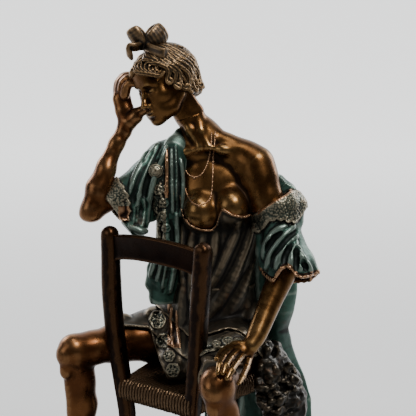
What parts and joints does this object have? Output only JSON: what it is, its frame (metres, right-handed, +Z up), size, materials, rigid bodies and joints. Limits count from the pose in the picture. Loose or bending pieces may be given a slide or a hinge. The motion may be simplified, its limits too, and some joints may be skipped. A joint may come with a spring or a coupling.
{
  "type": "bronze statuette",
  "caption": "Patinated bronze statuette of a robed woman seated astride a small chair, resting her head on one hand, on a stone plinth.",
  "frame": {"origin": "centre of the underside of the felt pads, under the middle of the plinth", "axes": "+Z up; -Y is the way the figure and the chair's back face; +X is the figure's left"},
  "size_m": [0.176, 0.16, 0.3531],
  "materials": {
    "bronze_skin_brown": "satin golden-brown to red-brown patina, waxed, near-black in the recesses",
    "bronze_green_patina": "verdigris green patina with pale rubbed folds and copper edges",
    "bronze_grey_brown": "dark grey-green and olive brown patina with a coppery lace hem",
    "bronze_dark_brown": "dark brown patina with orange-brown rubbed edges",
    "bronze_pin": "bare turned bronze",
    "plinth_marble": "polished black marble with fine pale veins",
    "felt": "dark green felt",
    "steel_fastener": "plated steel"
  },
  "bodies": {
    "root": {"plinth": "plinth_marble", "felt_pad_front_right": "felt", "felt_pad_front_left": "felt", "felt_pad_rear_right": "felt", "felt_pad_rear_left": "felt", "stud_back_right": "steel_fastener", "stud_back_left": "steel_fastener", "stud_front_right": "steel_fastener", "stud_front_left": "steel_fastener", "washer_back_right": "steel_fastener", "washer_back_left": "steel_fastener", "washer_front_right": "steel_fastener", "washer_front_left": "steel_fastener", "nut_back_right": "steel_fastener", "nut_back_left": "steel_fastener", "nut_front_right": "steel_fastener", "nut_front_left": "steel_fastener", "chair_back_post_left": "bronze_dark_brown", "chair_back_post_right": "bronze_dark_brown", "chair_front_leg_left": "bronze_dark_brown", "chair_front_leg_right": "bronze_dark_brown", "chair_seat": "bronze_dark_brown", "chair_top_rail": "bronze_dark_brown", "hair_bow": "bronze_dark_brown", "head": "bronze_skin_brown", "left_arm": "bronze_skin_brown", "left_leg": "bronze_skin_brown", "left_sleeve": "bronze_green_patina", "neck_pin": "bronze_pin", "right_arm": "bronze_skin_brown", "right_leg": "bronze_skin_brown", "right_sleeve": "bronze_green_patina", "robe_back": "bronze_green_patina", "robe_front_right": "bronze_green_patina", "seat_screw_left": "steel_fastener", "seat_screw_right": "steel_fastener", "shoulder_pin_left": "bronze_pin", "shoulder_pin_right": "bronze_pin", "skirt": "bronze_grey_brown", "stretcher_back": "bronze_dark_brown", "stretcher_front": "bronze_dark_brown", "stretcher_left": "bronze_dark_brown", "stretcher_right": "bronze_dark_brown", "torso": "bronze_grey_brown"}
  },
  "joints": []
}
